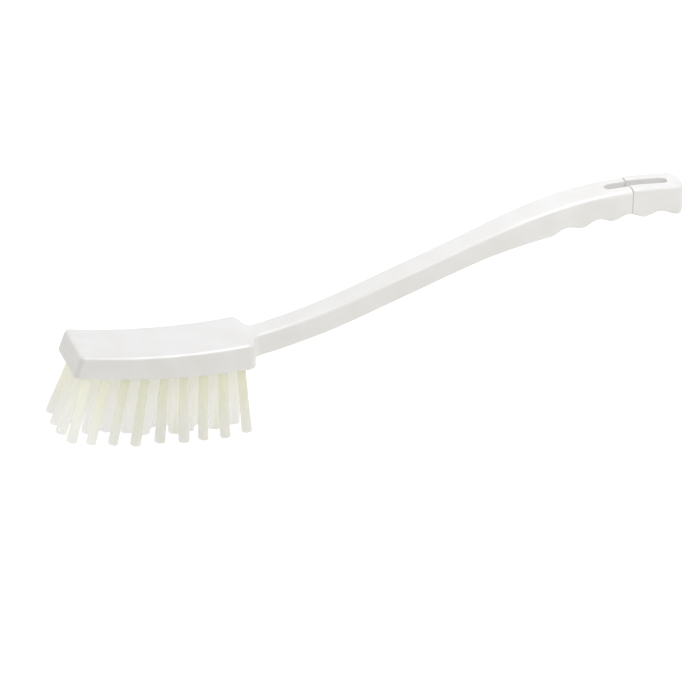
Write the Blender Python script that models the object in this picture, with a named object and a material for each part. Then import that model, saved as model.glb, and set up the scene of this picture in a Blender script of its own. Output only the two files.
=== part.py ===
"""Hand-held scrubbing brush with a long handle.

The block and the handle are one moulding. It is drawn straight, as a plan outline with heights, and bent
along a spine of arcs. A separate end loop closes the fork at the handle's end into a hanging slot. Tufts of
bristle stand in blind holes in the block, each folded round the anchor that pins it.
"""

import math
from collections import namedtuple

import bmesh
import bpy
from mathutils import Matrix, Vector

MM = 0.001

# Spine, from the block's front to the handle's end
BLOCK_LENGTH = 118 * MM
CRANK_LENGTH = 9 * MM
NECK_LENGTH = 66 * MM
SHAFT_LENGTH = 83 * MM
GRIP_LENGTH = 76 * MM
HEEL_LENGTH = 46 * MM
TAIL_LENGTH = 25 * MM
FRONT_TILT = math.radians(-8.6)
BLOCK_REAR_TILT = math.radians(6)
NECK_TILT = math.radians(13.5)
SHAFT_TILT = math.radians(22.6)
GRIP_TILT = math.radians(12)
TAIL_TILT = math.radians(-0.5)

# Block
BLOCK_WIDTH = 44.5 * MM
BLOCK_FRONT_THICKNESS = 15 * MM
BLOCK_REAR_THICKNESS = 18 * MM
FRONT_CORNER = 3 * MM
FRONT_RAKE = math.radians(9)
RAKE_REACH = 22 * MM
SHOULDER_CORNER = 5 * MM
SHOULDER_SLANT = math.radians(14)
NECK_FILLET = 5 * MM
BLOCK_TOP_EDGE = 2.6 * MM
BLOCK_BOTTOM_EDGE = 0.8 * MM

# Handle
NECK_WIDTH = 17 * MM
NECK_THICKNESS = 15.8 * MM
SHAFT_WIDTH = 19.5 * MM
SHAFT_THICKNESS = 14.4 * MM
SLIMMEST_TO_END = 161 * MM
GRIP_WIDTH = 23.2 * MM
GRIP_THICKNESS = 20 * MM
FULL_GRIP_TO_END = 67 * MM
END_THICKNESS = 20.6 * MM
HANDLE_TOP_EDGE = 3.1 * MM
HANDLE_BOTTOM_EDGE = 1.6 * MM
HEEL_EDGE = 3.4 * MM
END_RAKE = math.radians(5)

# Finger recesses under the grip, counted back from the end lip
FINGER_COUNT = 4
FINGER_PITCH = 22.3 * MM
FINGER_DEPTH = 3.2 * MM
END_LIP = 5 * MM

# End loop and the hanging slot that it closes
LOOP_LENGTH = 36.5 * MM
LOOP_STEP = 0.5 * MM
LOOP_TOP_EDGE = 2 * MM
LOOP_CORNER = 3 * MM
LOOP_END_RADIUS = 22 * MM
SLOT_LENGTH = 42.6 * MM
SLOT_WIDTH = 8 * MM
SLOT_TO_END = 9.3 * MM
SLOT_RIM = 1 * MM
RIM_OVERRUN = 0.3 * MM
PEG_LENGTH = 5 * MM
PEG_WIDTH = 2.4 * MM
PEG_HEIGHT = 6.5 * MM
PEG_BEVEL = 0.4 * MM

# Tufts
COLUMN_COUNT = 9
ROW_COUNT = 4
FRONT_MARGIN = 8 * MM
REAR_MARGIN = 9.5 * MM
ROW_PITCH = 11.3 * MM
FRONT_LEAN = math.radians(-20)
REAR_LEAN = math.radians(6)
OUTER_LEAN_SHARE = 0.85
OUTER_SPLAY = math.radians(9.5)
SPLAY_POWER = 3  # the inner rows stand almost upright
HOLE_RADIUS = 3 * MM
HOLE_DEPTH = 11 * MM
TRIM_LENGTH = 45.5 * MM
TRIM_RADIUS = 380 * MM
TRIM_FLAT = 0.5 * MM
TRIM_LOWEST_AT = 67 * MM
STRAND_RADIUS = 0.5 * MM
STRAND_SIDES = 3
INNER_STRANDS = 3
OUTER_STRANDS = 9
INNER_RING_SHARE = 0.28
OUTER_RING_SHARE = 0.76
TIP_SPREAD_SHARE = 1.45
STRAND_TIP_SHARE = 0.85
ANCHOR_LENGTH = 7.4 * MM
ANCHOR_HEIGHT = 1.8 * MM
ANCHOR_THICKNESS = 0.6 * MM

# Fits
CLEARANCE = 0.3 * MM
OVERRUN = 3 * MM
SAME_POINT = 0.001 * MM

# How finely curved stretches are cut
STATION_STEP = 10 * MM
FINGER_STEP = 2.6 * MM
CORNER_STEPS = 4
EDGE_STEPS = 3
HOLE_SIDES = 10
TRIM_STEPS = 6
SHARP_ANGLE = math.radians(35)
FLAT_ANGLE = math.radians(0.5)

Bend = namedtuple("Bend", "start length tilt_in tilt_out")
Edge = namedtuple("Edge", "along across facing")


def chain_of_bends():
    """The spine as arcs, each with the tilt it starts and ends at."""
    lengths = (
        BLOCK_LENGTH,
        CRANK_LENGTH,
        NECK_LENGTH,
        SHAFT_LENGTH,
        GRIP_LENGTH,
        HEEL_LENGTH,
        TAIL_LENGTH,
    )
    tilts = (
        FRONT_TILT,
        BLOCK_REAR_TILT,
        NECK_TILT,
        SHAFT_TILT,
        SHAFT_TILT,
        GRIP_TILT,
        TAIL_TILT,
        TAIL_TILT,
    )
    bends, start = [], 0
    for length, tilt_in, tilt_out in zip(lengths, tilts, tilts[1:]):
        bends.append(Bend(start, length, tilt_in, tilt_out))
        start += length
    return bends


BENDS = chain_of_bends()
SPINE_LENGTH = BENDS[-1].start + BENDS[-1].length
SEAM_AT = SPINE_LENGTH - LOOP_LENGTH
SHOULDER_AT = BLOCK_LENGTH - SHOULDER_CORNER
SHAFT_SLIMMEST_AT = SPINE_LENGTH - SLIMMEST_TO_END
GRIP_FULL_AT = SPINE_LENGTH - FULL_GRIP_TO_END


def along_arc(bend, distance):
    """How far one arc has moved and how steeply it lies, this far along it."""
    turn = (bend.tilt_out - bend.tilt_in) * distance / bend.length
    tilt = bend.tilt_in + turn
    if not turn:
        return Vector((math.cos(tilt), 0, math.sin(tilt))) * distance, tilt
    radius = distance / turn
    step = Vector((math.sin(tilt) - math.sin(bend.tilt_in), 0, math.cos(bend.tilt_in) - math.cos(tilt)))
    return step * radius, tilt


def spine(distance):
    """The spine's point and tilt at a distance from the front."""
    point = Vector((0, 0, 0))
    for bend in BENDS:
        last = bend is BENDS[-1] or distance <= bend.start + bend.length
        step, tilt = along_arc(bend, distance - bend.start if last else bend.length)
        point += step
        if last:
            return point, tilt


def raked(along, height):
    """Where a point moves to because both end faces lean, so that their lower edges reach further out."""
    front_share = max(0, 1 - along / RAKE_REACH)
    end_share = max(0, 1 - (SPINE_LENGTH - along) / RAKE_REACH)
    below_top = top_height(along) - height
    return along + below_top * (math.tan(END_RAKE) * end_share - math.tan(FRONT_RAKE) * front_share)


def bent(along, across, height):
    """Where a point of the straight drawing comes to lie."""
    point, tilt = spine(along)
    return point + Vector((-math.sin(tilt) * height, across, math.cos(tilt) * height))


def eased(place, stations):
    """A size that runs smoothly from one (place, size) station to the next."""
    before = stations[0]
    for after in stations:
        if place <= after[0]:
            reach = after[0] - before[0]
            share = (place - before[0]) / reach if reach else 0
            return before[1] + (after[1] - before[1]) * share * share * (3 - 2 * share)
        before = after
    return stations[-1][1]


def neck_at():
    """Where the neck's fillet ends and the handle's own width begins."""
    corner_end = SHOULDER_AT + SHOULDER_CORNER * math.cos(SHOULDER_SLANT)
    face = shoulder_face_length() * math.sin(SHOULDER_SLANT)
    return corner_end + face + NECK_FILLET * math.cos(SHOULDER_SLANT)


def shoulder_face_length():
    rounds = (SHOULDER_CORNER + NECK_FILLET) * (1 - math.sin(SHOULDER_SLANT))
    return ((BLOCK_WIDTH - NECK_WIDTH) / 2 - rounds) / math.cos(SHOULDER_SLANT)


def handle_width(along):
    stations = ((neck_at(), NECK_WIDTH), (SHAFT_SLIMMEST_AT, SHAFT_WIDTH), (GRIP_FULL_AT, GRIP_WIDTH))
    return eased(along, stations)


def thickness(along):
    if along <= SHOULDER_AT:
        share = along / SHOULDER_AT
        return BLOCK_FRONT_THICKNESS + (BLOCK_REAR_THICKNESS - BLOCK_FRONT_THICKNESS) * share
    stations = (
        (SHOULDER_AT, BLOCK_REAR_THICKNESS),
        (neck_at(), NECK_THICKNESS),
        (SHAFT_SLIMMEST_AT, SHAFT_THICKNESS),
        (GRIP_FULL_AT, GRIP_THICKNESS),
        (SPINE_LENGTH, END_THICKNESS),
    )
    return eased(along, stations)


def finger_recess(along):
    """How deep the finger recesses are here."""
    from_lip = (SPINE_LENGTH - END_LIP - along) / FINGER_PITCH
    if not 0 < from_lip < FINGER_COUNT:
        return 0
    return FINGER_DEPTH * math.sin(math.pi * from_lip) ** 2


def top_height(along):
    return thickness(along) / 2


def loop_top_height(along):
    return top_height(along) + LOOP_STEP


def bottom_height(along):
    return finger_recess(along) - thickness(along) / 2


def top_edge(along):
    return eased(along, ((SHOULDER_AT, BLOCK_TOP_EDGE), (neck_at(), HANDLE_TOP_EDGE)))


def bottom_edge(along):
    stations = (
        (SHOULDER_AT, BLOCK_BOTTOM_EDGE),
        (neck_at(), HANDLE_BOTTOM_EDGE),
        (SEAM_AT, HANDLE_BOTTOM_EDGE),
        (SPINE_LENGTH, HEEL_EDGE),
    )
    return eased(along, stations)


def loop_top_edge(along):
    return LOOP_TOP_EDGE


def stations_between(start, end, step):
    count = max(1, round((end - start) / step))
    return [start + (end - start) * i / count for i in range(count + 1)]


def arc_edges(along, across, radius, facing_from, facing_to):
    """Outline points round a corner. A negative radius makes it a hollow one."""
    edges = []
    for i in range(CORNER_STEPS + 1):
        facing = facing_from + (facing_to - facing_from) * i / CORNER_STEPS
        edges.append(Edge(along + radius * math.cos(facing), across + radius * math.sin(facing), facing))
    return edges


SIDE = math.pi / 2


def handle_edges(start, end):
    """The handle's side from one place to another, finer where the finger recesses are."""
    fingers_at = max(start, SPINE_LENGTH - END_LIP - FINGER_COUNT * FINGER_PITCH)
    places = stations_between(fingers_at, end, FINGER_STEP)
    if start < fingers_at:
        places = stations_between(start, fingers_at, STATION_STEP)[:-1] + places
    return [Edge(along, handle_width(along) / 2, SIDE) for along in places]


def body_outline():
    """Half the plan outline of the block and the handle, from the front face to the seam."""
    half = BLOCK_WIDTH / 2
    edges = arc_edges(FRONT_CORNER, half - FRONT_CORNER, FRONT_CORNER, math.pi, SIDE)
    edges += [Edge(s, half, SIDE) for s in stations_between(FRONT_CORNER, SHOULDER_AT, STATION_STEP)[1:-1]]
    edges += arc_edges(SHOULDER_AT, half - SHOULDER_CORNER, SHOULDER_CORNER, SIDE, SHOULDER_SLANT)
    fillet_across = NECK_WIDTH / 2 + NECK_FILLET
    edges += arc_edges(neck_at(), fillet_across, -NECK_FILLET, SHOULDER_SLANT, SIDE)[:-1]
    return edges + handle_edges(neck_at(), SEAM_AT)


def loop_outline():
    """Half the plan outline of the end loop, from the seam to the handle's end."""
    corner_across = GRIP_WIDTH / 2 - LOOP_CORNER
    reach = LOOP_END_RADIUS - LOOP_CORNER
    facing = math.asin(corner_across / reach)
    end_centre = SPINE_LENGTH - LOOP_END_RADIUS
    corner_at = end_centre + reach * math.cos(facing)
    edges = handle_edges(SEAM_AT + CLEARANCE, corner_at)[:-1]
    edges += arc_edges(corner_at, corner_across, LOOP_CORNER, SIDE, facing)[:-1]
    return edges + arc_edges(end_centre, 0, LOOP_END_RADIUS, facing, 0)


def slot_outline():
    """Half the plan outline of the hanging slot, with round ends."""
    radius = SLOT_WIDTH / 2
    slot_end = SPINE_LENGTH - SLOT_TO_END
    first, last = slot_end - SLOT_LENGTH + radius, slot_end - radius
    sides = [Edge(s, radius, SIDE) for s in stations_between(first, last, FINGER_STEP)[1:-1]]
    return arc_edges(first, 0, radius, math.pi, SIDE) + sides + arc_edges(last, 0, radius, SIDE, 0)


def layered_solid(name, outline, layers):
    """Stacks inset copies of half a plan outline into a closed, mirrored solid bent along the spine.

    Each layer, from the bottom up, turns a distance along the spine into an inset and a height.
    """
    mesh = bmesh.new()
    rings = []
    for layer in layers:
        left, right = [], []
        for edge in outline:
            inset = layer(edge.along)[0]
            along = edge.along - math.cos(edge.facing) * inset
            across = edge.across - math.sin(edge.facing) * inset
            height = layer(along)[1]
            along = raked(along, height)
            left.append(mesh.verts.new(bent(along, across, height)))
            mirrored = edge.across > SAME_POINT
            right.append(mesh.verts.new(bent(along, -across, height)) if mirrored else left[-1])
        rings.append((left, right))
    for side in (0, 1):
        for low, high in zip(rings, rings[1:]):
            skin(mesh, low[side], high[side])
    for left, right in (rings[0], rings[-1]):
        skin(mesh, left, right)
    for end in (0, -1):
        close_end(mesh, [ring[0][end] for ring in rings], [ring[1][end] for ring in rings])
    bmesh.ops.recalc_face_normals(mesh, faces=mesh.faces)
    return object_from(mesh, name)


def close_end(mesh, left, right):
    """Closes an end with a strip for each layer, and joins the strips that lie in one plane."""
    strips = skin(mesh, left, right)
    mesh.normal_update()
    edges = list({edge for strip in strips for edge in strip.edges})
    bmesh.ops.dissolve_limit(mesh, angle_limit=FLAT_ANGLE, verts=[], edges=edges)


def skin(mesh, first, second):
    """Faces between two rows of points. Where the rows share a point, the face is a triangle."""
    faces = []
    for a, b, c, d in zip(first, first[1:], second[1:], second):
        corners = list(dict.fromkeys((a, b, c, d)))
        if len(corners) > 2:
            faces.append(mesh.faces.new(corners))
    return faces


def rounded_layers(bottom, bottom_radius, top, top_radius):
    """Layers of a solid with rounded bottom and top edges."""
    layers = []
    for i in range(EDGE_STEPS + 1):
        turn = SIDE * (1 - i / EDGE_STEPS)
        layers.append(edge_layer(bottom, bottom_radius, turn, -1))
    for i in range(EDGE_STEPS + 1):
        layers.append(edge_layer(top, top_radius, SIDE * i / EDGE_STEPS, 1))
    return layers


def edge_layer(height, radius, turn, up):
    """One layer of a rounded edge: turn is zero where the side begins and a quarter turn at the face."""

    def layer(along):
        size = radius(along)
        return size * (1 - math.cos(turn)), height(along) - up * size * (1 - math.sin(turn))

    return layer


def slot_layers(bottom, top):
    """Layers of the slot's cutter, which flares at both faces to round the slot's rim."""
    layers = [lambda along: (-SLOT_RIM, bottom(along) - OVERRUN)]
    for i in range(EDGE_STEPS + 1):
        layers.append(rim_layer(bottom, SIDE * (1 - i / EDGE_STEPS), -1))
    for i in range(EDGE_STEPS + 1):
        layers.append(rim_layer(top, SIDE * i / EDGE_STEPS, 1))
    layers.append(lambda along: (-SLOT_RIM, top(along) + OVERRUN))
    return layers


def rim_layer(height, turn, up):
    """One layer of the flare, whose widest place lies a little outside the face that it rounds."""

    def layer(along):
        beyond = RIM_OVERRUN - SLOT_RIM * (1 - math.sin(turn))
        return -SLOT_RIM * (1 - math.cos(turn)), height(along) + up * beyond

    return layer


def object_from(mesh, name):
    data = bpy.data.meshes.new(name)
    mesh.to_mesh(data)
    mesh.free()
    obj = bpy.data.objects.new(name, data)
    PARTS.objects.link(obj)
    return obj


def make_cutter(obj):
    """Moves a helper solid out of the parts and hides it from renders."""
    PARTS.objects.unlink(obj)
    CUTTERS.objects.link(obj)
    obj.hide_render = True
    obj.display_type = "WIRE"
    return obj


def boolean(obj, other, operation):
    modifier = obj.modifiers.new(other.name, "BOOLEAN")
    modifier.operation = operation
    modifier.object = other
    modifier.solver = "EXACT"


def boolean_all(obj, collection, operation):
    modifier = obj.modifiers.new(collection.name, "BOOLEAN")
    modifier.operation = operation
    modifier.operand_type = "COLLECTION"
    modifier.collection = collection
    modifier.solver = "EXACT"


def material(name, color, roughness, transmission=0.0):
    made = bpy.data.materials.new(name)
    made.use_nodes = True
    shader = made.node_tree.nodes["Principled BSDF"]
    shader.inputs["Base Color"].default_value = (*color, 1)
    shader.inputs["Roughness"].default_value = roughness
    shader.inputs["Metallic"].default_value = 0
    shader.inputs["Transmission Weight"].default_value = transmission
    made.diffuse_color = (*color, 1)
    return made


def smooth(obj, look):
    obj.data.materials.append(look)
    obj.data.shade_smooth()
    obj.data.set_sharp_from_angle(angle=SHARP_ANGLE)


def seam_frame(across):
    """Where a peg stands: on the seam, in the middle of one rail."""
    height = (bottom_height(SEAM_AT) + top_height(SEAM_AT)) / 2
    return Matrix.Translation(bent(SEAM_AT, across, height)) @ Matrix.Rotation(-spine(SEAM_AT)[1], 4, "Y")


def peg(name, across, clearance):
    """A peg from inside the handle's prong into the end loop. With a clearance it is its socket."""
    mesh = bmesh.new()
    bmesh.ops.create_cube(mesh, size=1)
    size = (2 * PEG_LENGTH + 2 * clearance, PEG_WIDTH + 2 * clearance, PEG_HEIGHT + 2 * clearance)
    bmesh.ops.scale(mesh, vec=size, verts=mesh.verts)
    bmesh.ops.bevel(mesh, geom=mesh.edges, offset=PEG_BEVEL, segments=1, affect="EDGES")
    mesh.transform(seam_frame(across))
    return make_cutter(object_from(mesh, name))


def make_body(look):
    layers = rounded_layers(bottom_height, bottom_edge, top_height, top_edge)
    body = layered_solid("handle_and_block", body_outline(), layers)
    slot = layered_solid("slot_cutter_body", slot_outline(), slot_layers(bottom_height, top_height))
    boolean(body, make_cutter(slot), "DIFFERENCE")
    for side, across in rails():
        boolean(body, peg(f"peg_{side}", across, 0), "UNION")
    boolean_all(body, HOLES, "DIFFERENCE")
    smooth(body, look)
    return body


def make_loop(look):
    layers = rounded_layers(bottom_height, bottom_edge, loop_top_height, loop_top_edge)
    loop = layered_solid("end_loop", loop_outline(), layers)
    slot = layered_solid("slot_cutter_loop", slot_outline(), slot_layers(bottom_height, loop_top_height))
    boolean(loop, make_cutter(slot), "DIFFERENCE")
    for side, across in rails():
        boolean(loop, peg(f"socket_{side}", across, CLEARANCE), "DIFFERENCE")
    smooth(loop, look)
    return loop


def rails():
    across = (GRIP_WIDTH + SLOT_WIDTH) / 4
    return ("left", across), ("right", -across)


def tuft_frame(row, column):
    """A frame at a hole's mouth, with its Z axis out of the hole and its Y axis across the block."""
    column_share = column / (COLUMN_COUNT - 1)
    row_share = 2 * row / (ROW_COUNT - 1) - 1
    along = FRONT_MARGIN + (BLOCK_LENGTH - REAR_MARGIN - FRONT_MARGIN) * column_share
    across = row_share * ROW_PITCH * (ROW_COUNT - 1) / 2
    lean = FRONT_LEAN + (REAR_LEAN - FRONT_LEAN) * column_share
    lean *= 1 - (1 - OUTER_LEAN_SHARE) * row_share**2
    splay = OUTER_SPLAY * row_share**SPLAY_POWER
    out = Vector((math.sin(lean), math.tan(splay), -math.cos(lean))).normalized()
    aside = Vector((math.cos(lean), 0, math.sin(lean)))
    axes = Matrix((aside, out.cross(aside), out)).transposed().to_4x4()
    return Matrix.Translation(bent(along, across, bottom_height(along))) @ axes


def cylinder(mesh, radius, low, high, frame):
    made = bmesh.ops.create_cone(
        mesh, cap_ends=True, segments=HOLE_SIDES, radius1=radius, radius2=radius, depth=high - low
    )
    middle = Matrix.Translation((0, 0, (low + high) / 2))
    bmesh.ops.transform(mesh, matrix=frame @ middle, verts=made["verts"])


def anchor_bar(mesh, clearance, frame):
    """The flat bar that a tuft is folded round. With a clearance it is the cut that its ends bite into."""
    made = bmesh.ops.create_cube(mesh, size=1)
    size = [side + 2 * clearance for side in (ANCHOR_LENGTH, ANCHOR_THICKNESS, ANCHOR_HEIGHT)]
    bmesh.ops.scale(mesh, vec=size, verts=made["verts"])
    depth = HOLE_DEPTH - CLEARANCE - ANCHOR_HEIGHT
    place = frame @ Matrix.Translation((0, 0, -depth))
    bmesh.ops.transform(mesh, matrix=place, verts=made["verts"])


def make_hole(name, frame):
    """The blind hole, and the cut in its wall for the anchor's ends."""
    mesh = bmesh.new()
    cylinder(mesh, HOLE_RADIUS, -HOLE_DEPTH, OVERRUN, frame)
    hole = object_from(mesh, name)
    mesh = bmesh.new()
    anchor_bar(mesh, CLEARANCE, frame)
    cut = object_from(mesh, name + "_anchor_cut")
    for obj in (hole, cut):
        make_cutter(obj)
        CUTTERS.objects.unlink(obj)
        HOLES.objects.link(obj)


def trim_height(along_x, low):
    """The height that the bristles are trimmed to: an arc, cut flat where the brush stands on it."""
    rise = (along_x - TRIM_LOWEST_AT) ** 2 / (2 * TRIM_RADIUS)
    return low + max(rise, TRIM_FLAT)


def strand(mesh, frame, root, tip, turn, low):
    """One bristle, thinner at its tip, which the trim cuts."""
    root_ring, tip_ring = [], []
    for i in range(STRAND_SIDES):
        angle = turn + 2 * math.pi * i / STRAND_SIDES
        around = Vector((math.cos(angle), math.sin(angle), 0)) * STRAND_RADIUS
        start = frame @ (root + around)
        end = frame @ (tip + around * STRAND_TIP_SHARE)
        root_ring.append(mesh.verts.new(start))
        tip_ring.append(mesh.verts.new(cut_at_trim(start, end, low)))
    skin(mesh, root_ring + root_ring[:1], tip_ring + tip_ring[:1])
    mesh.faces.new(root_ring[::-1])
    mesh.faces.new(tip_ring)


def cut_at_trim(start, end, low):
    """Where the line from start to end meets the trim, found by stepping to the trim's height."""
    reach = (end - start) / (end - start).z
    point = end
    for _ in range(TRIM_STEPS):
        point = start + reach * (trim_height(point.x, low) - start.z)
    return point


def make_tuft(name, frame, low, look):
    """One tuft: its root in the hole, the anchor across it and its bristles."""
    root_radius = HOLE_RADIUS - CLEARANCE
    mesh = bmesh.new()
    cylinder(mesh, root_radius, CLEARANCE - HOLE_DEPTH, -CLEARANCE, frame)
    root = object_from(mesh, name)
    mesh = bmesh.new()
    anchor_bar(mesh, 0, frame)
    boolean(root, make_cutter(object_from(mesh, name + "_anchor")), "UNION")
    mesh = bmesh.new()
    for count, share in ((INNER_STRANDS, INNER_RING_SHARE), (OUTER_STRANDS, OUTER_RING_SHARE)):
        for i in range(count):
            angle = 2 * math.pi * i / count
            place = Vector((math.cos(angle), math.sin(angle), 0)) * share * root_radius
            start = place - Vector((0, 0, 2 * CLEARANCE))
            tip = place * TIP_SPREAD_SHARE + Vector((0, 0, TRIM_LENGTH))
            strand(mesh, frame, start, tip, angle, low)
    bmesh.ops.recalc_face_normals(mesh, faces=mesh.faces)
    strands = make_cutter(object_from(mesh, name + "_strands"))
    boolean(root, strands, "UNION")
    smooth(root, look)
    return root


def centre_on_floor(parts):
    """Moves everything so that the origin is the middle of the brush's box, at its bottom."""
    graph = bpy.context.evaluated_depsgraph_get()
    corners = []
    for obj in parts:
        evaluated = obj.evaluated_get(graph)
        corners += [evaluated.matrix_world @ Vector(corner) for corner in evaluated.bound_box]
    low = Vector(min(corner[i] for corner in corners) for i in range(3))
    high = Vector(max(corner[i] for corner in corners) for i in range(3))
    shift = Vector(((low.x + high.x) / 2, (low.y + high.y) / 2, low.z))
    for obj in bpy.data.objects:
        obj.location -= shift
    print("box", [round(side / MM, 1) for side in high - low], "front at", round(-shift.x / MM, 2))


for old in list(bpy.data.objects):
    bpy.data.objects.remove(old)
PARTS = bpy.data.collections.new("long_handled_brush")
CUTTERS = bpy.data.collections.new("cutters")
HOLES = bpy.data.collections.new("hole_cutters")
for collection in (PARTS, CUTTERS):
    bpy.context.scene.collection.children.link(collection)
CUTTERS.children.link(HOLES)

plastic = material("white polypropylene", (0.86, 0.86, 0.85), 0.42)
bristle = material("natural polyester bristle", (0.84, 0.83, 0.7), 0.35, 0.2)

trim_low = bent(TRIM_LOWEST_AT, 0, bottom_height(TRIM_LOWEST_AT)).z - TRIM_LENGTH
tufts = []
for row in range(ROW_COUNT):
    for column in range(COLUMN_COUNT):
        place = f"row{row + 1}_col{column + 1}"
        make_hole(f"hole_{place}", tuft_frame(row, column))
        tufts.append(make_tuft(f"tuft_{place}", tuft_frame(row, column), trim_low, bristle))
pieces = [make_body(plastic), make_loop(plastic)] + tufts
centre_on_floor(pieces)
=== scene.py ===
import math
import random

import bmesh
import bpy
from mathutils import Matrix, Vector


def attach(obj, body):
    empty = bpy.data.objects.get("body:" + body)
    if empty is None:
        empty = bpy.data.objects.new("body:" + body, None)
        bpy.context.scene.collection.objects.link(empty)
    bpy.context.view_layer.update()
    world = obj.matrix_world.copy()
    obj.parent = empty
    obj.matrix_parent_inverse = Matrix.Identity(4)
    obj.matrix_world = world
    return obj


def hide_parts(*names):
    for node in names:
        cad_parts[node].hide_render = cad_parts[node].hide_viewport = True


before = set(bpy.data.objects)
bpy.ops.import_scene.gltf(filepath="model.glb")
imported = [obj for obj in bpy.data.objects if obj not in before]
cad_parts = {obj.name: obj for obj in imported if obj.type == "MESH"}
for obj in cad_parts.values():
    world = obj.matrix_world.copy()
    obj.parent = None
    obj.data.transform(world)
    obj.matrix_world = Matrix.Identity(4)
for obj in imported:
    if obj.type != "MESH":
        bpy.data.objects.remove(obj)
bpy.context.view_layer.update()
print("frame loaded:", len(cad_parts), "pieces")


def deselectAll():
    if bpy.context.object and bpy.context.object.mode != "OBJECT":
        bpy.ops.object.mode_set(mode="OBJECT")
    bpy.ops.object.select_all(action="DESELECT")


def makeActive(piece):
    deselectAll()
    piece.select_set(True)
    bpy.context.view_layer.objects.active = piece


def selectPoints(piece, isWanted):  # in edit mode: the points whose place passes the test
    mesh = bmesh.from_edit_mesh(piece.data)
    for point in mesh.verts:
        point.select = isWanted(point.co)
    mesh.select_flush_mode()
    mesh.select_flush(True)
    bmesh.update_edit_mesh(piece.data)


def applyModifier(piece, kind, **settings):
    makeActive(piece)
    modifier = piece.modifiers.new(kind.lower(), kind)
    for name, value in settings.items():
        setattr(modifier, name, value)
    bpy.ops.object.modifier_apply(modifier=modifier.name)


def toLinear(hexColour):  # sRGB hex to the linear values that the nodes take
    channels = [int(hexColour[i:i + 2], 16) / 255 for i in (1, 3, 5)]
    return [c / 12.92 if c < 0.04045 else ((c + 0.055) / 1.055) ** 2.4 for c in channels] + [1]


def newMaterial(name):
    material = bpy.data.materials.new(name)
    material.use_nodes = True
    material.node_tree.nodes.clear()
    return material, material.node_tree


def addNode(tree, kind, settings=None, values=None, links=None):
    node = tree.nodes.new(kind)
    for name, value in (settings or {}).items():
        setattr(node, name, value)
    for name, value in (values or {}).items():
        node.inputs[name].default_value = value
    for name, source in (links or {}).items():
        tree.links.new(source, node.inputs[name])
    return node


def addNoise(tree, place, size, detail):
    noise = addNode(tree, "ShaderNodeTexNoise", values={"Scale": 1 / size, "Detail": detail},
                    links={"Vector": place})
    return noise.outputs["Fac"]


# the sockets of a mix node that are in use when it mixes colours
colourMix = {"share": 0, "first": 6, "second": 7, "mixed": 2}

# the photograph's viewing angle
photoCamera = {
    "place": (-0.9383, -2.6916, 1.4315),
    "elevation": 26,  # degrees above the brush
    "azimuth": 19,  # degrees round from square-on
    "roll": 3.5,
    "lens": 250,
    "sensor": 36,
}


def makeCamera():
    deselectAll()
    bpy.ops.object.camera_add()
    camera = bpy.context.object
    azimuth = math.radians(photoCamera["azimuth"])
    above = math.radians(photoCamera["elevation"])
    roll = math.radians(photoCamera["roll"])
    look = Vector((math.sin(azimuth) * math.cos(above), math.cos(azimuth) * math.cos(above),
                   -math.sin(above)))
    level = Vector((math.cos(azimuth), -math.sin(azimuth), 0))
    up = level.cross(look)
    side = level * math.cos(roll) + up * math.sin(roll)
    up = up * math.cos(roll) - level * math.sin(roll)
    turn = Matrix((side, up, -look)).transposed().to_4x4()
    camera.matrix_world = Matrix.Translation(photoCamera["place"]) @ turn
    camera.data.lens = photoCamera["lens"]
    camera.data.sensor_width = photoCamera["sensor"]
    bpy.context.scene.camera = camera


makeCamera()
bpy.context.scene.view_settings.view_transform = "Standard"
print("camera placed")


# white polypropylene, injection moulded: the block with its handle, and the end loop
whitePlastic = {
    "paler": "#E4E3E3",
    "deeper": "#E0DFDE",
    "shade": (0.022, 3),  # noise size in metres and detail: patches where the plastic flowed
    "shadeEdges": (0.35, 0.65),
    "sink": (0.034, 1),  # slow waves where thick walls shrank
    "sinkDepth": 0.00012,
    "grain": (0.0008, 2),  # spark-eroded grain is about 0.05 mm, drawn coarser so that it shows
    "grainDepth": 0.000006,
    "gloss": (0.006, 4),
    "roughness": (0.32, 0.42),
    "ior": 1.49,
    "depth": (0.2, 0.0025),  # share of the light that goes in, and how far
    "depthTint": (1, 1, 1),
}


def makePolypropylene():
    # opaque white with a little depth, and a satin gloss that varies in soft patches
    material, tree = newMaterial("whiteMouldedPolypropylene")
    place = addNode(tree, "ShaderNodeTexCoord").outputs["Object"]
    shade = addNoise(tree, place, *whitePlastic["shade"])
    colour = addNode(tree, "ShaderNodeValToRGB", links={"Fac": shade})
    stops = zip(colour.color_ramp.elements, ("deeper", "paler"), whitePlastic["shadeEdges"])
    for stop, tone, edge in stops:
        stop.color = toLinear(whitePlastic[tone])
        stop.position = edge
    gloss = addNoise(tree, place, *whitePlastic["gloss"])
    low, high = whitePlastic["roughness"]
    rough = addNode(tree, "ShaderNodeMapRange", values={"To Min": low, "To Max": high},
                    links={"Value": gloss})
    sink = addNoise(tree, place, *whitePlastic["sink"])
    sinkBump = addNode(tree, "ShaderNodeBump", links={"Height": sink},
                       values={"Strength": 1, "Distance": whitePlastic["sinkDepth"]})
    grain = addNoise(tree, place, *whitePlastic["grain"])
    grainBump = addNode(tree, "ShaderNodeBump",
                        links={"Height": grain, "Normal": sinkBump.outputs["Normal"]},
                        values={"Strength": 1, "Distance": whitePlastic["grainDepth"]})
    share, reach = whitePlastic["depth"]
    shader = addNode(
        tree, "ShaderNodeBsdfPrincipled",
        values={"IOR": whitePlastic["ior"], "Subsurface Weight": share,
                "Subsurface Radius": whitePlastic["depthTint"], "Subsurface Scale": reach},
        links={"Base Color": colour.outputs["Color"], "Roughness": rough.outputs["Result"],
               "Normal": grainBump.outputs["Normal"]})
    addNode(tree, "ShaderNodeOutputMaterial", links={"Surface": shader.outputs["BSDF"]})
    return material


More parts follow.
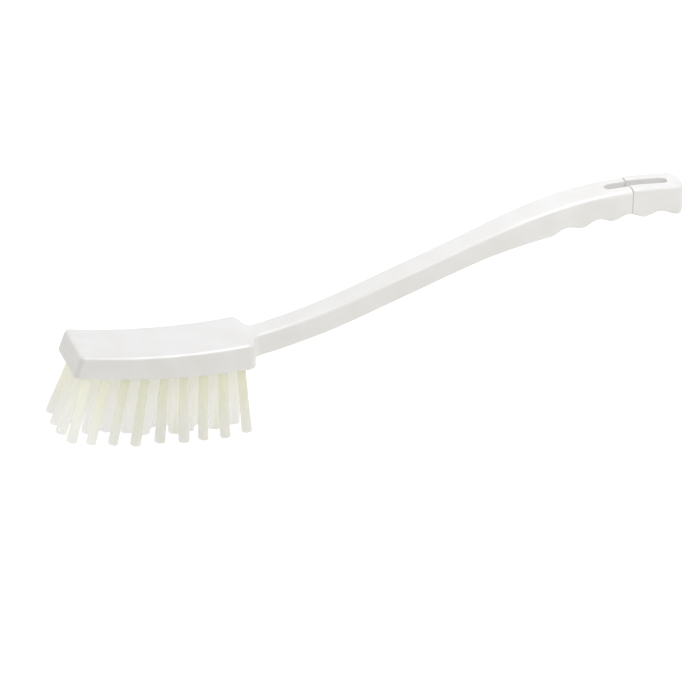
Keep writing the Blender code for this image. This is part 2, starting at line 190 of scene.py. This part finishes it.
polypropylene = makePolypropylene()
for name in ("handle_and_block", "end_loop"):
    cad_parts[name].data.materials.clear()
    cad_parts[name].data.materials.append(polypropylene)
print("moulded plastic on the block with its handle, and on the end loop")


# bristle: natural polyester filament, extruded, folded round a strip and trimmed
bristle = {
    # painted shade: the roots are greyer and warmer than the tips, where the block shades them
    "tip": "#E1E0DF",
    "root": "#D8D7C6",
    "paintedBacklightTip": "#FFFFF8",  # painted backlight: the inner tufts are painted paler and yellower, as light from behind shows them
    "paintedBacklightRoot": "#FFFFE4",
    "innerWidth": 0.009,  # metres from the middle line
    "outerWidth": 0.013,
    "frontEdges": (-0.2, -0.168),  # along the brush: painted backlight, the free-standing front tufts are painted nearly as pale as the inner ones
    "frontShadeShare": 0.15,
    "rootHeight": 0.05,  # metres above the floor, where the painted shade of the roots is full
    "tipHeight": 0.004,
    "streakWidth": 0.0007,  # about one filament, so that each has its own tone
    "streakLength": 0.03,
    "streakShare": 0.6,
    "batchWidth": 0.012,  # slow change from tuft to tuft
    "batchShare": 0.5,
    "streakDetail": 1,
    "toneEdges": (0.45, 1.25),
    "ior": 1.55,
    "roughness": 0.3,
    "depth": (1, 0.001),
    "depthTint": (1, 1, 0.8),
}


def makePolyester():
    # milky, with painted shade that makes it greyer and warmer towards the roots under the block,
    # painted backlight on the inner and front tufts, and each filament in a tone of its own
    material, tree = newMaterial("naturalPolyesterFilament")
    place = addNode(tree, "ShaderNodeTexCoord").outputs["Object"]
    axes = addNode(tree, "ShaderNodeSeparateXYZ", links={"Vector": place}).outputs
    # painted shade: the tone turns from tip to root with height
    height = addNode(tree, "ShaderNodeMapRange", links={"Value": axes["Z"]},
                     values={"From Min": bristle["tipHeight"], "From Max": bristle["rootHeight"]})
    # mask of painted shade: the outer rows take the greyer tones, the inner rows and the front
    # tufts the paler painted backlight
    aside = addNode(tree, "ShaderNodeMath", settings={"operation": "ABSOLUTE"},
                    links={0: axes["Y"]})
    outer = addNode(tree, "ShaderNodeMapRange", links={"Value": aside.outputs["Value"]},
                    values={"From Min": bristle["innerWidth"], "From Max": bristle["outerWidth"]})
    low, high = bristle["frontEdges"]
    front = addNode(tree, "ShaderNodeMapRange", links={"Value": axes["X"]},
                    values={"From Min": low, "From Max": high, "To Min": bristle["frontShadeShare"]})
    paintedShadeShare = addNode(tree, "ShaderNodeMath", settings={"operation": "MULTIPLY"},
                     links={0: outer.outputs["Result"], 1: front.outputs["Result"]})
    blend = height.outputs["Result"]
    for width, share in (("streakWidth", "streakShare"), ("batchWidth", "batchShare")):
        scale = 1 / bristle[width], 1 / bristle[width], 1 / bristle["streakLength"]
        stretch = addNode(tree, "ShaderNodeMapping", values={"Scale": scale},
                          links={"Vector": place})
        noise = addNoise(tree, stretch.outputs["Vector"], 1, bristle["streakDetail"])
        blend = addNode(tree, "ShaderNodeMath", settings={"operation": "MULTIPLY_ADD"},
                        values={1: bristle[share]}, links={0: noise, 2: blend}).outputs["Value"]
    low, high = bristle["toneEdges"]
    blend = addNode(tree, "ShaderNodeMapRange", values={"From Min": low, "From Max": high},
                    links={"Value": blend}).outputs["Result"]
    # first the painted backlight of the inner tufts, then the outer tufts with painted shade at
    # the roots
    tones = []
    for tip, root in (("paintedBacklightTip", "paintedBacklightRoot"), ("tip", "root")):
        ramp = addNode(tree, "ShaderNodeValToRGB", links={"Fac": blend})
        ramp.color_ramp.elements[0].color = toLinear(bristle[tip])
        ramp.color_ramp.elements[1].color = toLinear(bristle[root])
        tones.append(ramp.outputs["Color"])
    colour = addNode(tree, "ShaderNodeMix", settings={"data_type": "RGBA"},
                     links={colourMix["share"]: paintedShadeShare.outputs["Value"],
                            colourMix["first"]: tones[0], colourMix["second"]: tones[1]})
    share, reach = bristle["depth"]
    shader = addNode(
        tree, "ShaderNodeBsdfPrincipled",
        values={"IOR": bristle["ior"], "Roughness": bristle["roughness"],
                "Subsurface Weight": share, "Subsurface Radius": bristle["depthTint"],
                "Subsurface Scale": reach},
        links={"Base Color": colour.outputs[colourMix["mixed"]]})
    addNode(tree, "ShaderNodeOutputMaterial", links={"Surface": shader.outputs["BSDF"]})
    return material


anchorSteel = {
    "colour": "#C6C7C8",
    "lineSpacing": 0.0001,  # rolling lines
    "lineLength": 0.006,
    "lineDetail": 2,
    "roughness": (0.22, 0.4),
}


def makeStainlessStrip():
    # rolled stainless strip: cool grey metal with fine lines along it
    material, tree = newMaterial("stainlessAnchorStrip")
    place = addNode(tree, "ShaderNodeTexCoord").outputs["Object"]
    along = 1 / anchorSteel["lineLength"]
    stretch = addNode(tree, "ShaderNodeMapping", links={"Vector": place},
                      values={"Scale": (along, along, 1 / anchorSteel["lineSpacing"])})
    lines = addNoise(tree, stretch.outputs["Vector"], 1, anchorSteel["lineDetail"])
    low, high = anchorSteel["roughness"]
    rough = addNode(tree, "ShaderNodeMapRange", values={"To Min": low, "To Max": high},
                    links={"Value": lines})
    shader = addNode(tree, "ShaderNodeBsdfPrincipled",
                     values={"Base Color": toLinear(anchorSteel["colour"]), "Metallic": 1},
                     links={"Roughness": rough.outputs["Result"]})
    addNode(tree, "ShaderNodeOutputMaterial", links={"Surface": shader.outputs["BSDF"]})
    return material


tuft = {
    "filamentRadius": 0.00025,
    "filamentSides": 5,
    "foldRadii": (0.0006, 0.00108, 0.00156, 0.00204, 0.0024),  # nested, from the anchor outwards
    "foldedCounts": (10, 9, 8, 6, 3),  # folded filaments along the anchor, for each fold
    "packing": 0.00052,
    "foldDepth": 0.0095,
    "foldRoom": 0.00085,  # from the fold's axis to the underside of the innermost filament
    "foldStep": 0.00028,  # how little further the next fold reaches, pressed flat by the anchor
    "foldFacets": 2,  # in a quarter turn
    "legHeights": (-0.001, 0.012, 0.028, 0.049),
    "samePlace": 0.000001,
    "mergeWithin": 0.00001,
    "flare": (0.3, 0.6, 0.65, 0.3),  # by row: the inner rows close the gaps between the near tufts
    "frontFlare": 0.4,  # the most that a tuft of the first column has
    "flareSpread": (0.8, 1.2),
    "stray": 0.0016,  # how far single filaments wander
    "straySpread": (0.7, 1.3),
    "straySize": 0.0032,
    "anchor": (0.0074, 0.0006, 0.0018),
    "anchorEdge": 0.00012,
    "anchorEdgeFacets": 2,
    "anchorDepth": 0.0089,
    "leanSpread": 0.55,  # degrees, for the tufts that the photograph doesn't show singly
    "leanIn": -1,
    "smoothAngle": 50,
    "seed": 7,
}


def makeFoldedFilament(foldRadius):
    # half a folded filament: a ring drawn up into a leg and spun under the anchor, then mirrored
    fold = -tuft["foldDepth"]
    near = tuft["samePlace"]
    deselectAll()
    bpy.ops.mesh.primitive_circle_add(vertices=tuft["filamentSides"],
                                      radius=tuft["filamentRadius"],
                                      location=(0, foldRadius, fold))
    filament = bpy.context.object
    bpy.ops.object.transform_apply(location=True, rotation=True, scale=True)
    bpy.ops.object.mode_set(mode="EDIT")
    bpy.ops.mesh.select_all(action="SELECT")
    reached = fold
    for height in tuft["legHeights"]:
        bpy.ops.mesh.extrude_region_move(
            TRANSFORM_OT_translate={"value": (0, 0, height - reached)})
        reached = height
    selectPoints(filament, lambda point: abs(point.z - fold) < near)
    bpy.ops.mesh.spin(steps=tuft["foldFacets"], angle=-math.pi / 2, center=(0, 0, fold),
                      axis=(1, 0, 0))
    selectPoints(filament, lambda point: point.z < fold - near)
    first, second = tuft["foldRadii"][:2]
    room = tuft["foldRoom"] + tuft["foldStep"] * (foldRadius - first) / (second - first)
    bpy.ops.transform.resize(value=(1, 1, room / (foldRadius + tuft["filamentRadius"])),
                             center_override=(0, 0, fold))
    bpy.ops.object.mode_set(mode="OBJECT")
    applyModifier(filament, "MIRROR", use_axis=(False, True, False),
                  merge_threshold=tuft["mergeWithin"])
    return filament


def makeTuftPattern():
    rows = []
    for foldRadius, count in zip(tuft["foldRadii"], tuft["foldedCounts"]):
        filament = makeFoldedFilament(foldRadius)
        applyModifier(filament, "ARRAY", count=count, use_relative_offset=False,
                      use_constant_offset=True,
                      constant_offset_displace=(tuft["packing"], 0, 0))
        filament.data.transform(Matrix.Translation((-tuft["packing"] * (count - 1) / 2, 0, 0)))
        filament.data.materials.append(polyester)
        rows.append(filament)
    deselectAll()
    bpy.ops.mesh.primitive_cube_add(size=1, location=(0, 0, -tuft["anchorDepth"]),
                                    scale=tuft["anchor"])
    anchor = bpy.context.object
    bpy.ops.object.transform_apply(location=True, rotation=True, scale=True)
    bpy.ops.object.mode_set(mode="EDIT")
    bpy.ops.mesh.select_all(action="SELECT")
    bpy.ops.mesh.bevel(offset=tuft["anchorEdge"], segments=tuft["anchorEdgeFacets"],
                       affect="EDGES")
    bpy.ops.object.mode_set(mode="OBJECT")
    anchor.data.materials.append(stainlessStrip)
    makeActive(rows[0])
    for piece in rows + [anchor]:
        piece.select_set(True)
    bpy.ops.object.join()
    pattern = bpy.context.object
    free = pattern.vertex_groups.new(name="free")  # none in the hole, all at the ends
    for point in pattern.data.vertices:
        free.add([point.index], max(0, point.co.z) / tuft["legHeights"][-1], "REPLACE")
    return pattern


# where the holes are, with the sizes that the block was built from
block = {
    "front": (-0.1994, 0.05859),
    "length": 0.118,
    "frontTilt": math.radians(-8.6),
    "rearTilt": math.radians(6),
    "thickness": (0.015, 0.018),
    "shoulderAt": 0.113,
    "rows": 4,
    "columns": 9,
    "frontMargin": 0.008,
    "rearMargin": 0.0095,
    "rowPitch": 0.0113,
    "frontLean": math.radians(-20),
    "rearLean": math.radians(6),
    "outerLeanShare": 0.85,
    "outerSplay": math.radians(9.5),
    "splayPower": 3,
    "trimLowestAt": -0.1324,
    "trimRadius": 0.38,
    "trimFlat": 0.0005,
}

# degrees that single tufts lean back and outwards from the regular fan, read from the photograph
tuftLeans = {
    (1, 1): (3.5, -4.5), (1, 2): (1.1, -3.7), (1, 3): (0.9, -4),
    (1, 4): (0.5, -2), (1, 5): (3.1, -5), (1, 6): (3.5, -2.3),
    (1, 7): (1.5, -3.2), (1, 8): (0.8, -1.7), (1, 9): (0.7, -3.7),
    (2, 1): (1, 3.5), (2, 2): (6, -1.5), (2, 3): (2.1, -6),
    (2, 4): (1.1, -3.8), (2, 5): (-4.8, 0), (2, 6): (1.1, 3.3),
    (2, 7): (-6, 0.7), (2, 8): (-3, 3), (2, 9): (-6, 1.3),
    (3, 1): (0.8, -1.9), (3, 5): (4.3, -3.1), (3, 7): (1.3, -5), (4, 1): (0, -3),
}


def holeFrame(row, column, leanBack, leanOut):
    # a place on the hole's mouth, with z along the tuft and x along the block
    columnShare = (column - 1) / (block["columns"] - 1)
    rowShare = 2 * (row - 1) / (block["rows"] - 1) - 1
    holesLength = block["length"] - block["rearMargin"] - block["frontMargin"]
    along = block["frontMargin"] + holesLength * columnShare
    bend = block["rearTilt"] - block["frontTilt"]
    tilt = block["frontTilt"] + bend * along / block["length"]
    radius = block["length"] / bend
    spineX = block["front"][0] + radius * (math.sin(tilt) - math.sin(block["frontTilt"]))
    spineZ = block["front"][1] + radius * (math.cos(block["frontTilt"]) - math.cos(tilt))
    thin, thick = block["thickness"]
    drop = (thin + (thick - thin) * along / block["shoulderAt"]) / 2
    mouth = Vector((spineX + math.sin(tilt) * drop,
                    rowShare * block["rowPitch"] * (block["rows"] - 1) / 2,
                    spineZ - math.cos(tilt) * drop))
    lean = block["frontLean"] + (block["rearLean"] - block["frontLean"]) * columnShare
    lean *= 1 - (1 - block["outerLeanShare"]) * rowShare ** 2
    lean += math.radians(leanBack)
    splay = block["outerSplay"] * rowShare ** block["splayPower"]
    splay += math.copysign(1, rowShare) * math.radians(leanOut)
    out = Vector((math.sin(lean), math.tan(splay), -math.cos(lean))).normalized()
    aside = Vector((math.cos(lean), 0, math.sin(lean)))
    turn = Matrix((aside, out.cross(aside), out)).transposed().to_4x4()
    return Matrix.Translation(mouth) @ turn


def trimTuft(piece, tipX):
    # the trim is an arc, flat where the brush stands, and cuts each tuft square to it
    off = tipX - block["trimLowestAt"]
    rise = off ** 2 / (2 * block["trimRadius"])
    slope = off / block["trimRadius"] if rise > block["trimFlat"] else 0
    height = max(rise, block["trimFlat"]) - block["trimFlat"]
    makeActive(piece)
    bpy.ops.object.mode_set(mode="EDIT")
    bpy.ops.mesh.select_all(action="SELECT")
    bpy.ops.mesh.bisect(plane_co=(tipX, 0, height), plane_no=(-slope, 0, 1), clear_inner=True)
    bpy.ops.mesh.select_all(action="SELECT")
    bpy.ops.mesh.fill_holes(sides=0)
    bpy.ops.mesh.select_all(action="SELECT")
    bpy.ops.mesh.normals_make_consistent(inside=False)
    bpy.ops.object.mode_set(mode="OBJECT")


def makeTuft(row, column, pattern, strayNoise, chance):
    spread = tuft["leanSpread"]
    anyLean = chance.gauss(0, spread), chance.gauss(tuft["leanIn"], spread)
    leanBack, leanOut = tuftLeans.get((row, column), anyLean)
    piece = pattern.copy()
    piece.data = pattern.data.copy()
    piece.name = f"bristleTuftRow{row}Col{column}"
    bpy.context.collection.objects.link(piece)
    inHole = tuft["foldDepth"] + tuft["foldRoom"]
    flare = min(tuft["flare"][row - 1], tuft["frontFlare"] if column == 1 else 1)
    applyModifier(piece, "SIMPLE_DEFORM", deform_method="TAPER", deform_axis="Z",
                  factor=flare * chance.uniform(*tuft["flareSpread"]),
                  limits=(inHole / (inHole + tuft["legHeights"][-1]), 1))
    place = holeFrame(row, column, leanBack, leanOut)
    piece.data.transform(place)
    stray = tuft["stray"] * chance.uniform(*tuft["straySpread"])
    applyModifier(piece, "DISPLACE", texture=strayNoise, texture_coords="LOCAL",
                  direction="RGB_TO_XYZ", vertex_group="free", mid_level=0.5, strength=stray)
    out = place.to_3x3() @ Vector((0, 0, 1))
    trimTuft(piece, place.translation.x + out.x * place.translation.z / -out.z)
    makeActive(piece)
    bpy.ops.object.shade_smooth_by_angle(angle=math.radians(tuft["smoothAngle"]))
    # clear filaments pass soft light on to each other, which a few bounces would lose
    piece.visible_diffuse = piece.visible_shadow = False
    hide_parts(f"tuft_row{row}_col{column}")
    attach(piece, "root")


polyester = makePolyester()
stainlessStrip = makeStainlessStrip()
pattern = makeTuftPattern()
print("one tuft of", sum(tuft["foldedCounts"]), "folded filaments on its anchor")
strayNoise = bpy.data.textures.new("strayFilaments", type="CLOUDS")
strayNoise.cloud_type = "COLOR"
strayNoise.noise_scale = tuft["straySize"]
chance = random.Random(tuft["seed"])
for row in range(1, block["rows"] + 1):
    for column in range(1, block["columns"] + 1):
        makeTuft(row, column, pattern, strayNoise, chance)
bpy.data.objects.remove(pattern)
print("tufts set in their holes and trimmed")


studio = {
    "floorSize": 14,
    "floor": "#F4F4F4",
    "floorBounce": "#F4F3EB",  # what the floor throws back at the brush is a little warmer
    "floorGlow": 0.26,  # seen by the camera only, so that the floor reads as white paper
    "sky": 0.65,
    "backdrop": 1,
    "softboxes": {  # place, side in metres, watts, lights the brush, shows in its gloss
        "rearSoftbox": ((-1.2, 1.2, 1.4), 1.4, 8, True, True),
        "handleSoftbox": ((0.05, 0.1, 0.7), 0.6, 1.1, True, False),
        "frontSoftbox": ((0.3, -0.5, 0.7), 0.4, 2.2, True, False),
        # only for the line of light along the near edges
        "edgeSoftbox": ((0.18, -0.95, 1.76), 0.5, 24, False, True),
    },
    "aim": (0, 0, 0.06),
}


def makeFloor():
    deselectAll()
    bpy.ops.mesh.primitive_plane_add(size=studio["floorSize"], location=(0, 0, 0))
    floor = bpy.context.object
    floor.name = "studioFloor"
    material, tree = newMaterial("matteWhitePaper")
    camera = addNode(tree, "ShaderNodeLightPath").outputs["Is Camera Ray"]
    tone = addNode(tree, "ShaderNodeMix", settings={"data_type": "RGBA"},
                   values={colourMix["first"]: toLinear(studio["floorBounce"]),
                           colourMix["second"]: toLinear(studio["floor"])},
                   links={colourMix["share"]: camera})
    paper = addNode(tree, "ShaderNodeBsdfDiffuse",
                    links={"Color": tone.outputs[colourMix["mixed"]]})
    strength = addNode(tree, "ShaderNodeMath", settings={"operation": "MULTIPLY"},
                       values={1: studio["floorGlow"]}, links={0: camera})
    glow = addNode(tree, "ShaderNodeEmission", links={"Strength": strength.outputs["Value"]})
    both = addNode(tree, "ShaderNodeAddShader",
                   links={0: paper.outputs["BSDF"], 1: glow.outputs["Emission"]})
    addNode(tree, "ShaderNodeOutputMaterial", links={"Surface": both.outputs["Shader"]})
    floor.data.materials.append(material)


def makeSky():
    # white backdrop for the camera and in reflections, softer light for everything else
    world = bpy.data.worlds.new("softStudio")
    bpy.context.scene.world = world
    world.use_nodes = True
    tree = world.node_tree
    tree.nodes.clear()
    path = addNode(tree, "ShaderNodeLightPath").outputs
    seen = addNode(tree, "ShaderNodeMath", settings={"operation": "MAXIMUM"},
                   links={0: path["Is Camera Ray"], 1: path["Is Glossy Ray"]})
    strength = addNode(tree, "ShaderNodeMapRange", links={"Value": seen.outputs["Value"]},
                       values={"To Min": studio["sky"], "To Max": studio["backdrop"]})
    backdrop = addNode(tree, "ShaderNodeBackground", values={"Color": (1, 1, 1, 1)},
                       links={"Strength": strength.outputs["Result"]})
    addNode(tree, "ShaderNodeOutputWorld", links={"Surface": backdrop.outputs["Background"]})


def makeSoftboxes():
    for name, (place, side, watts, lights, shows) in studio["softboxes"].items():
        deselectAll()
        bpy.ops.object.light_add(type="AREA", location=place)
        lamp = bpy.context.object
        lamp.name = name
        lamp.data.shape = "SQUARE"
        lamp.data.size = side
        lamp.data.energy = watts
        lamp.visible_camera = False
        lamp.visible_diffuse = lights
        lamp.visible_glossy = shows
        aim = Vector(studio["aim"]) - lamp.location
        lamp.rotation_euler = aim.to_track_quat("-Z", "Y").to_euler()


makeFloor()
makeSky()
makeSoftboxes()
print("floor, backdrop and", len(studio["softboxes"]), "softboxes in place")
